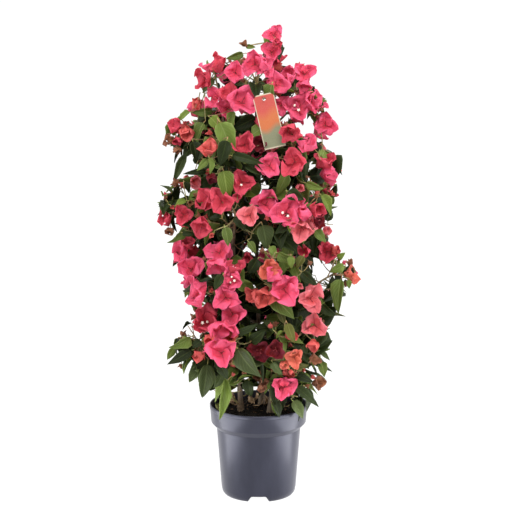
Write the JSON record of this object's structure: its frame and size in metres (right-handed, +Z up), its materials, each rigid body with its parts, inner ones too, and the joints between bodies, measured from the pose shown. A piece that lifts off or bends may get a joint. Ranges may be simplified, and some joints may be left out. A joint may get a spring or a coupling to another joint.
{
  "type": "potted bougainvillea",
  "caption": "Slim column of bougainvillea shoots with leaves and pink three-bract blooms on woody stems, standing in a round ribless nursery pot of dark plastic.",
  "frame": {"origin": "on the ground under the middle of the pot and of the whole plant", "axes": "+Z up along the stems, -Y towards the front that the label hangs on, +X to the right of it"},
  "size_m": [0.3433, 0.3112, 0.8185],
  "materials": {
    "pot_plastic": "satin",
    "compost": "matte",
    "bark": "matte",
    "flowering_foliage": "matte",
    "label_card": "satin"
  },
  "bodies": {
    "root": {"pot": "pot_plastic", "compost": "compost", "left_stem": "bark", "right_stem": "bark", "back_stem": "bark", "label_twig": "bark", "label_card": "label_card", "top_spire_foliage": "flowering_foliage", "top_left_foliage": "flowering_foliage", "top_front_foliage": "flowering_foliage", "top_right_foliage": "flowering_foliage", "top_back_foliage": "flowering_foliage", "left_shoulder_foliage": "flowering_foliage", "front_left_upper_foliage": "flowering_foliage", "front_right_upper_foliage": "flowering_foliage", "right_shoulder_bough": "bark", "right_shoulder_foliage": "flowering_foliage", "left_middle_foliage": "flowering_foliage", "front_left_middle_bough": "bark", "front_left_middle_foliage": "flowering_foliage", "front_right_middle_foliage": "flowering_foliage", "right_middle_bough": "bark", "right_middle_foliage": "flowering_foliage", "left_low_foliage": "flowering_foliage", "front_left_low_foliage": "flowering_foliage", "front_right_low_foliage": "flowering_foliage", "right_low_bough": "bark", "right_low_foliage": "flowering_foliage", "left_foot_foliage": "flowering_foliage", "front_left_foot_foliage": "flowering_foliage", "front_right_foot_foliage": "flowering_foliage", "right_foot_bough": "bark", "right_foot_foliage": "flowering_foliage", "left_rim_foliage": "flowering_foliage", "right_rim_foliage": "flowering_foliage", "back_left_upper_bough": "bark", "back_left_upper_foliage": "flowering_foliage", "back_right_upper_bough": "bark", "back_right_upper_foliage": "flowering_foliage", "back_left_middle_foliage": "flowering_foliage", "back_right_middle_bough": "bark", "back_right_middle_foliage": "flowering_foliage", "back_left_low_bough": "bark", "back_left_low_foliage": "flowering_foliage", "back_right_low_bough": "bark", "back_right_low_foliage": "flowering_foliage"}
  },
  "joints": []
}
